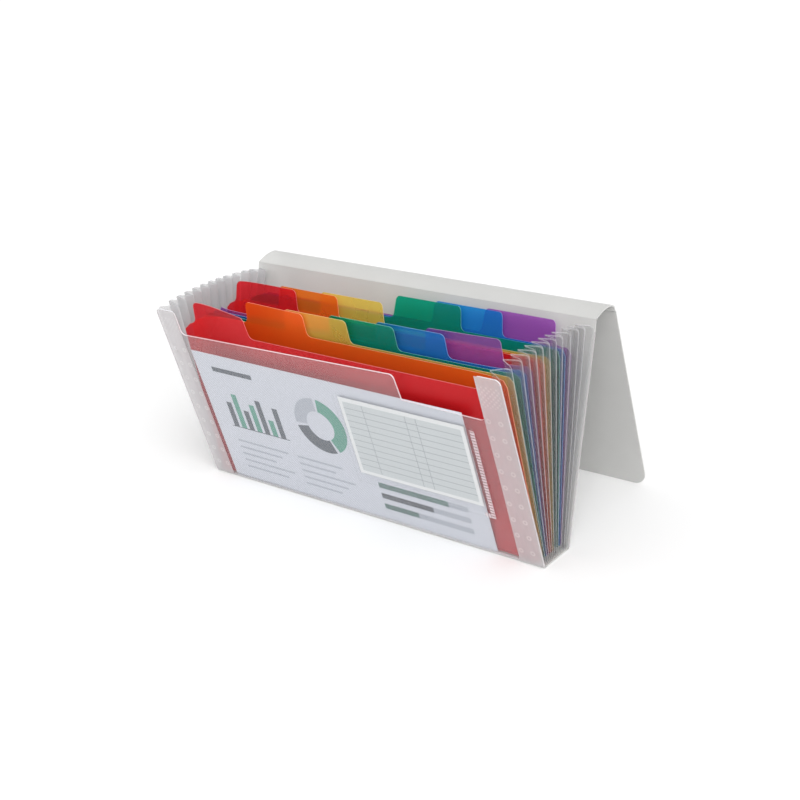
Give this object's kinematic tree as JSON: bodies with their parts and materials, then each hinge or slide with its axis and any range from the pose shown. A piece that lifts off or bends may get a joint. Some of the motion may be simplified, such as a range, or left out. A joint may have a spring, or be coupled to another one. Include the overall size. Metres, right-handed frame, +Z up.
{
  "type": "accordion file folder",
  "caption": "Expanding file folder: frosted wrap-round cover with a fold-back flap, pleated side gussets, rainbow tabbed dividers and a clear front with insert sheet and index card pocket.",
  "frame": {"origin": "on the floor, under the middle of the bottom strip", "axes": "+X along the folder to the right as seen from the front, +Y towards the back, +Z up"},
  "size_m": [0.2606, 0.1373, 0.1272],
  "materials": {
    "frosted_cover": "frosted translucent polypropylene sheet",
    "clear_front": "clear polypropylene sheet with a fine embossed hatch",
    "clear_gusset": "thin clear polypropylene, pleated",
    "clear_film": "clear pocket film",
    "printed_paper": null,
    "ruled_card": "ruled card",
    "red_sheet": "tinted translucent polypropylene",
    "orange_sheet": "tinted translucent polypropylene",
    "yellow_sheet": "tinted translucent polypropylene",
    "green_sheet": "tinted translucent polypropylene",
    "blue_sheet": "tinted translucent polypropylene",
    "purple_sheet": "tinted translucent polypropylene"
  },
  "bodies": {
    "bottom": {"bottom_strip": "frosted_cover", "left_gusset": "clear_gusset", "right_gusset": "clear_gusset"},
    "front": {"front_panel": "clear_front", "card_pocket": "clear_film", "left_front_flange": "clear_gusset", "right_front_flange": "clear_gusset"},
    "rear": {"rear_panel": "frosted_cover", "left_rear_flange": "clear_gusset", "right_rear_flange": "clear_gusset"},
    "spine": {"spine_strip": "frosted_cover"},
    "flap": {"cover_flap": "frosted_cover"},
    "insert": {"insert_sheet": "printed_paper"},
    "card": {"index_card": "ruled_card"},
    "divider_01": {"divider_01_red": "red_sheet"},
    "divider_02": {"divider_02_orange": "orange_sheet"},
    "divider_03": {"divider_03_yellow": "yellow_sheet"},
    "divider_04": {"divider_04_green": "green_sheet"},
    "divider_05": {"divider_05_blue": "blue_sheet"},
    "divider_06": {"divider_06_purple": "purple_sheet"},
    "divider_07": {"divider_07_red": "red_sheet"},
    "divider_08": {"divider_08_orange": "orange_sheet"},
    "divider_09": {"divider_09_yellow": "yellow_sheet"},
    "divider_10": {"divider_10_green": "green_sheet"},
    "divider_11": {"divider_11_blue": "blue_sheet"},
    "divider_12": {"divider_12_purple": "purple_sheet"}
  },
  "joints": [
    {"name": "rear_fold", "type": "hinge", "parent": "bottom", "child": "rear", "pos_m": [0, 0.012, 0.0004], "axis": [1, 0, 0], "range_deg": [-6, 20.5], "deforming": ["left_gusset", "right_gusset"]},
    {"name": "front_fold", "type": "hinge", "parent": "bottom", "child": "front", "pos_m": [0, -0.012, 0.0004], "axis": [1, 0, 0], "range_deg": [-14.02, 4.12]},
    {"name": "divider_01_fold", "type": "hinge", "parent": "bottom", "child": "divider_01", "pos_m": [0, -0.01051, 0.0012], "axis": [1, 0, 0], "range_deg": [-11.69, 3.44]},
    {"name": "divider_02_fold", "type": "hinge", "parent": "bottom", "child": "divider_02", "pos_m": [0, -0.00885, 0.0012], "axis": [1, 0, 0], "range_deg": [-9.34, 2.75]},
    {"name": "divider_03_fold", "type": "hinge", "parent": "bottom", "child": "divider_03", "pos_m": [0, -0.00718, 0.0012], "axis": [1, 0, 0], "range_deg": [-6.96, 2.05]},
    {"name": "divider_04_fold", "type": "hinge", "parent": "bottom", "child": "divider_04", "pos_m": [0, -0.00552, 0.0012], "axis": [1, 0, 0], "range_deg": [-4.58, 1.35]},
    {"name": "divider_05_fold", "type": "hinge", "parent": "bottom", "child": "divider_05", "pos_m": [0, -0.00386, 0.0012], "axis": [1, 0, 0], "range_deg": [-2.17, 0.65]},
    {"name": "divider_06_fold", "type": "hinge", "parent": "bottom", "child": "divider_06", "pos_m": [0, -0.00219, 0.0012], "axis": [1, 0, 0], "range_deg": [-0.093, 0.27]},
    {"name": "divider_07_fold", "type": "hinge", "parent": "bottom", "child": "divider_07", "pos_m": [0, -0.00053, 0.0012], "axis": [1, 0, 0], "range_deg": [-0.8, 2.67]},
    {"name": "divider_08_fold", "type": "hinge", "parent": "bottom", "child": "divider_08", "pos_m": [0, 0.00113, 0.0012], "axis": [1, 0, 0], "range_deg": [-1.5, 5.07]},
    {"name": "divider_09_fold", "type": "hinge", "parent": "bottom", "child": "divider_09", "pos_m": [0, 0.00279, 0.0012], "axis": [1, 0, 0], "range_deg": [-2.19, 7.45]},
    {"name": "divider_10_fold", "type": "hinge", "parent": "bottom", "child": "divider_10", "pos_m": [0, 0.00728, 0.0012], "axis": [1, 0, 0], "range_deg": [-4.04, 13.77]},
    {"name": "divider_11_fold", "type": "hinge", "parent": "bottom", "child": "divider_11", "pos_m": [0, 0.00894, 0.0012], "axis": [1, 0, 0], "range_deg": [-4.71, 16.06]},
    {"name": "divider_12_fold", "type": "hinge", "parent": "bottom", "child": "divider_12", "pos_m": [0, 0.0106, 0.0012], "axis": [1, 0, 0], "range_deg": [-5.37, 18.31]},
    {"name": "spine_fold", "type": "hinge", "parent": "rear", "child": "spine", "pos_m": [0, 0.05325, 0.12368], "axis": [1, 0, 0], "range_deg": [-15, 164.5]},
    {"name": "flap_fold", "type": "hinge", "parent": "spine", "child": "flap", "pos_m": [0, 0.07317, 0.12194], "axis": [1, 0, 0], "range_deg": [-20, 162.7]},
    {"name": "insert_slide", "type": "slide", "parent": "front", "child": "insert", "axis": [0, 0.2079, -0.9781], "range_m": [-0.09, 0]},
    {"name": "card_slide", "type": "slide", "parent": "front", "child": "card", "axis": [0, 0.2079, -0.9781], "range_m": [-0.06, 0]}
  ],
  "couplings": [
    {"joint": "front_fold", "follows": "rear_fold", "ratio": -0.68293},
    {"joint": "divider_01_fold", "follows": "rear_fold", "ratio": -0.5694},
    {"joint": "divider_02_fold", "follows": "rear_fold", "ratio": -0.4546},
    {"joint": "divider_03_fold", "follows": "rear_fold", "ratio": -0.33878},
    {"joint": "divider_04_fold", "follows": "rear_fold", "ratio": -0.22218},
    {"joint": "divider_05_fold", "follows": "rear_fold", "ratio": -0.1051},
    {"joint": "divider_06_fold", "follows": "rear_fold", "ratio": 0.01218},
    {"joint": "divider_07_fold", "follows": "rear_fold", "ratio": 0.12938},
    {"joint": "divider_08_fold", "follows": "rear_fold", "ratio": 0.24622},
    {"joint": "divider_09_fold", "follows": "rear_fold", "ratio": 0.3624},
    {"joint": "divider_10_fold", "follows": "rear_fold", "ratio": 0.67079},
    {"joint": "divider_11_fold", "follows": "rear_fold", "ratio": 0.78235},
    {"joint": "divider_12_fold", "follows": "rear_fold", "ratio": 0.89215}
  ]
}
